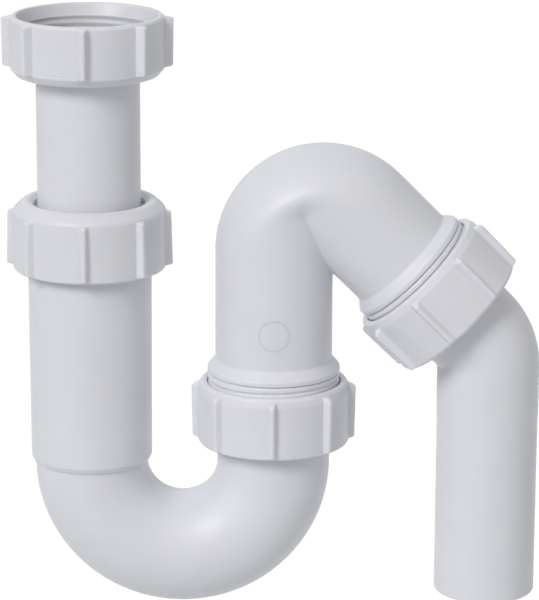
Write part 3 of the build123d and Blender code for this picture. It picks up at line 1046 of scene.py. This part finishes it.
class TRAP_OT_s_bend(bpy.types.Operator):
    """Make the S-bend: riser, tight turn and arm, with a collar and a thread at each end"""

    bl_idname = "trap.s_bend"
    bl_label = "S-bend"

    def execute(self, context):
        sizes = context.scene.trap_sizes
        edge = millimetres(sizes.edge_round)
        whole = S_BEND_RISER + S_BEND_ARM + TURN_SPAN - 2 * TURN_MARGIN
        flare = THREAD_LENGTH + COLLAR_WIDTH + COLLAR_FLARE
        end = [
            (PIPE_THREAD_RADIUS, 0.0, edge),
            (PIPE_THREAD_RADIUS, COLLAR_FOOT, 0.15),
            (COLLAR_RADIUS, COLLAR_FOOT, 0.45),
            (COLLAR_RADIUS, THREAD_LENGTH + COLLAR_WIDTH, 0.6),
            (S_BEND_RADIUS, flare, 1.0),
        ]
        loop = rounded_loop(
            [(S_BEND_BORE, 0.0, edge)]
            + end
            + [(radius, whole - distance, rounding) for radius, distance, rounding in reversed(end)]
            + [(S_BEND_BORE, whole, edge)]
        )
        near_collar = COLLAR_FOOT - 5.0
        thread_rows = np.concatenate(
            (
                np.arange(0.3, near_collar, 2 * THREAD_ROW),
                np.arange(near_collar, COLLAR_FOOT, THREAD_ROW),
            )
        )
        loop = with_rows(loop, list(thread_rows) + list(whole - thread_rows), *THREAD_BAND)
        bent_from, bent_to = TURN_STRAIGHT * TURN_SPAN, (1 - TURN_STRAIGHT) * TURN_SPAN
        rows = list(TURN_START + np.linspace(0.0, bent_from, 5))
        rows += list(TURN_START + np.linspace(bent_from, bent_to, 73))
        rows += list(TURN_START + np.linspace(bent_to, TURN_SPAN, 5))
        rows += list(np.linspace(flare + 2.0, TURN_START - 2.0, 7))
        rows += list(whole - np.linspace(flare + 1.0, 26.0, 4))
        loop = with_rows(loop, rows, 0.0, S_BEND_RADIUS + 0.1)
        angles, crease = around(S_BEND_COLUMNS), millimetres(sizes.crease_round)
        pitch, depth = millimetres(sizes.thread_pitch), millimetres(sizes.thread_depth)
        distances, arm_start = loop[:, 1:], THREAD_START + ARM_THREAD_LAG
        stand = ridges(distances, -angles[None, :], 0.0, COLLAR_FOOT, pitch, THREAD_START)
        stand = stand + ridges(whole - distances, angles[None, :], 0.0, COLLAR_FOOT, pitch, arm_start)
        threaded = (np.abs(loop[:, :1] - PIPE_THREAD_RADIUS) < 0.05) * stand * depth
        radii = loop[:, :1] + threaded
        columns = [
            s_bend_points(np.stack((radii[:, i], loop[:, 1]), -1), angles[i : i + 1], crease)[:, 0]
            for i in range(len(angles))
        ]
        mesh = closed_mesh("s_bend_skin", np.stack(columns, axis=1))
        nodes = ("s_bend_riser", "s_bend_turn", "s_bend_arm")
        finish = finish_of("White Pipe Plastic")
        add_piece("tight_bend", mesh, finish, "s_bend", "pipe_plastic", *nodes)
        mark = closed_mesh("mould_mark_skin", mark_points())
        add_piece("mould_mark", mark, finish, "s_bend", "pipe_plastic")
        return {"FINISHED"}


class TRAP_OT_outlet_bend(bpy.types.Operator):
    """Make the outlet bend and its plain tail"""

    bl_idname = "trap.outlet_bend"
    bl_label = "Outlet Bend"

    def execute(self, context):
        edge = millimetres(context.scene.trap_sizes.edge_round)
        turn = pi - S_BEND_TURN
        arc = OUTLET_TURN_RADIUS * turn
        line = bent_line(
            (OUTLET_FACE[0], OUTLET_FACE[2]), -turn, [(OUTLET_RUN, 0.0), (arc, -turn), (OUTLET_TAIL, 0.0)]
        )
        whole = OUTLET_RUN + arc + OUTLET_TAIL
        bore = OUTLET_RADIUS - PIPE_WALL
        spigot = whole - SPIGOT_ROUND - SPIGOT_LENGTH
        loop = rounded_loop(
            [
                (bore, 0.0, edge),
                (FLANGE_RADIUS, 0.0, edge),
                (FLANGE_RADIUS, FLANGE_THICKNESS, edge),
                (OUTLET_RADIUS, FLANGE_THICKNESS, edge),
                (OUTLET_RADIUS, spigot - SPIGOT_TAPER, 1.0),
                (SPIGOT_RADIUS, spigot, 1.0),
                (SPIGOT_RADIUS, whole, SPIGOT_ROUND),
                (bore, whole, edge),
            ]
        )
        rows = list(OUTLET_RUN + np.linspace(0.0, arc, 33))
        rows += list(np.arange(OUTLET_RUN + arc + PIPE_ROW, whole - 3.0, PIPE_ROW))
        loop = with_rows(loop, rows + [6.0], 0.0, OUTLET_RADIUS + 0.1)
        mesh = closed_mesh("outlet_bend_skin", swept(loop, line, around(PIPE_COLUMNS)))
        finish = finish_of("White Pipe Plastic")
        add_piece("tail_bend", mesh, finish, "outlet_bend", "pipe_plastic", "outlet_bend")
        return {"FINISHED"}


class TRAP_OT_seals(bpy.types.Operator):
    """Give the washers, the taper seal and the slip ring their materials"""

    bl_idname = "trap.seals"
    bl_label = "Washers And Seals"

    def execute(self, context):
        finishes = {
            "inlet_washer": "Black Rubber",
            "telescopic_seal": "Black Rubber",
            "swivel_washer": "Black Rubber",
            "outlet_washer": "Black Rubber",
            "slip_ring": "Natural Ring Plastic",
        }
        for node, finish in finishes.items():
            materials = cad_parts[node].data.materials
            materials.clear()
            materials.append(finish_of(finish))
        return {"FINISHED"}


def white_where_seen(nodes, links, other):
    """A factor that is 1 for camera, gloss and transmission rays, fed into another socket."""
    path = nodes.new("ShaderNodeLightPath")
    total = nodes.new("ShaderNodeMath")
    total.operation = "MAXIMUM"
    either = nodes.new("ShaderNodeMath")
    either.operation = "MAXIMUM"
    links.new(path.outputs["Is Camera Ray"], either.inputs[0])
    links.new(path.outputs["Is Glossy Ray"], either.inputs[1])
    links.new(either.outputs["Value"], total.inputs[0])
    links.new(path.outputs["Is Transmission Ray"], total.inputs[1])
    links.new(total.outputs["Value"], other)


class TRAP_OT_stage(bpy.types.Operator):
    """Make the floor, the world, the soft lights and the camera"""

    bl_idname = "trap.stage"
    bl_label = "Stage"

    def make_floor(self, studio):
        """A plain pale floor below the trap, white where the camera sees it unshadowed."""
        low = cad_box[0].z - studio.floor_drop
        half = studio.floor_size / 2
        mesh = bpy.data.meshes.new("floor_sheet")
        sheet = bmesh.new()
        bmesh.ops.create_grid(sheet, x_segments=8, y_segments=8, size=half)
        bmesh.ops.translate(sheet, verts=sheet.verts, vec=(0.0, 0.0, low))
        sheet.to_mesh(mesh)
        sheet.free()
        floor = new_object("floor", mesh)
        material, shader = blank_material("Pale Floor")
        nodes, links = material.node_tree.nodes, material.node_tree.links
        shader.inputs["Base Color"].default_value = tuple(studio.floor_colour) + (1.0,)
        shader.inputs["Roughness"].default_value = 0.9
        shader.inputs["Specular IOR Level"].default_value = 0.0
        glow = nodes.new("ShaderNodeEmission")
        lift = nodes.new("ShaderNodeMath")
        lift.operation = "MULTIPLY"
        lift.inputs[1].default_value = studio.floor_lift
        both = nodes.new("ShaderNodeAddShader")
        white_where_seen(nodes, links, lift.inputs[0])
        links.new(lift.outputs["Value"], glow.inputs["Strength"])
        links.new(shader.outputs["BSDF"], both.inputs[0])
        links.new(glow.outputs["Emission"], both.inputs[1])
        links.new(both.outputs["Shader"], nodes["Material Output"].inputs["Surface"])
        mesh.materials.append(material)

    def make_world(self, studio):
        """Even light from all round, white where it is seen."""
        world = bpy.data.worlds.new("Studio")
        bpy.context.scene.world = world
        world.use_nodes = True
        nodes, links = world.node_tree.nodes, world.node_tree.links
        strength = nodes.new("ShaderNodeMapRange")
        strength.inputs["To Min"].default_value = studio.ambient
        strength.inputs["To Max"].default_value = 1.0
        white_where_seen(nodes, links, strength.inputs["Value"])
        nodes["Background"].inputs["Color"].default_value = (1.0, 1.0, 1.0, 1.0)
        links.new(strength.outputs["Result"], nodes["Background"].inputs["Strength"])

    def make_light(self, name, strength, place, softness, colour):
        """A soft distant light. Azimuth 0 is behind the camera, and the right is positive."""
        lamp = bpy.data.lights.new(name, "SUN")
        lamp.energy, lamp.angle, lamp.color = strength, softness, colour
        light = new_object(name, lamp)
        azimuth, elevation = (radians(angle) for angle in place)
        flat = cos(elevation)
        towards = Vector((sin(azimuth) * flat, -cos(azimuth) * flat, sin(elevation)))
        light.rotation_euler = towards.to_track_quat("Z", "Y").to_euler()
        light.location = towards

    def make_camera(self, studio):
        """The camera at the photograph's viewing angle."""
        data = bpy.data.cameras.new("camera")
        data.sensor_fit = "VERTICAL"
        data.sensor_height = 36.0
        data.lens = studio.camera_lens
        data.clip_end = 100.0
        camera = new_object("camera", data)
        pitch = studio.camera_pitch
        back = Vector((0.0, -cos(pitch), sin(pitch))) * studio.camera_distance
        turn = Matrix.Rotation(pi / 2 - pitch, 4, "X") @ Matrix.Rotation(studio.camera_roll, 4, "Z")
        camera.matrix_world = Matrix.Translation(Vector(studio.camera_target) + back) @ turn
        bpy.context.scene.camera = camera

    def execute(self, context):
        studio = context.scene.trap_studio
        context.scene.view_settings.view_transform = "Standard"
        self.make_floor(studio)
        self.make_world(studio)
        softness = studio.light_softness
        self.make_light("key_light", studio.key_light, KEY_PLACE, softness, WHITE_LIGHT)
        self.make_light("fill_light", studio.fill_light, FILL_PLACE, BROAD_LIGHT, WARM_LIGHT)
        self.make_light("back_light", studio.back_light, BACK_PLACE, BROAD_LIGHT, COOL_LIGHT)
        self.make_camera(studio)
        return {"FINISHED"}


class TRAP_PT_panel(bpy.types.Panel):
    """The trap's pieces, sizes and finishes in the sidebar"""

    bl_label = "Sink Trap"
    bl_idname = "TRAP_PT_panel"
    bl_space_type = "VIEW_3D"
    bl_region_type = "UI"
    bl_category = "Sink Trap"

    def draw(self, context):
        layout = self.layout
        for operator in OPERATORS:
            layout.operator(operator.bl_idname)
        for group in ("trap_sizes", "trap_finishes", "trap_studio"):
            settings = getattr(context.scene, group)
            box = layout.box()
            for name in type(settings).__annotations__:
                box.prop(settings, name)


OPERATORS = (
    TRAP_OT_inlet_nut,
    TRAP_OT_inlet_tube,
    TRAP_OT_telescopic_nut,
    TRAP_OT_inlet_leg,
    TRAP_OT_u_bend,
    TRAP_OT_union_nuts,
    TRAP_OT_s_bend,
    TRAP_OT_outlet_bend,
    TRAP_OT_seals,
    TRAP_OT_stage,
)
GROUPS = (TrapSizes, TrapFinishes, TrapStudio)


def register():
    for item in GROUPS + OPERATORS + (TRAP_PT_panel,):
        bpy.utils.register_class(item)
    bpy.types.Scene.trap_sizes = bpy.props.PointerProperty(type=TrapSizes)
    bpy.types.Scene.trap_finishes = bpy.props.PointerProperty(type=TrapFinishes)
    bpy.types.Scene.trap_studio = bpy.props.PointerProperty(type=TrapStudio)


def unregister():
    del bpy.types.Scene.trap_studio
    del bpy.types.Scene.trap_finishes
    del bpy.types.Scene.trap_sizes
    for item in reversed(GROUPS + OPERATORS + (TRAP_PT_panel,)):
        bpy.utils.unregister_class(item)


def main():
    """Registers the add-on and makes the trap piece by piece."""
    register()
    bpy.ops.trap.inlet_nut()
    bpy.ops.trap.inlet_tube()
    bpy.ops.trap.telescopic_nut()
    bpy.ops.trap.inlet_leg()
    bpy.ops.trap.u_bend()
    bpy.ops.trap.union_nuts()
    bpy.ops.trap.s_bend()
    bpy.ops.trap.outlet_bend()
    bpy.ops.trap.seals()
    bpy.ops.trap.stage()


if __name__ == "__main__":
    main()
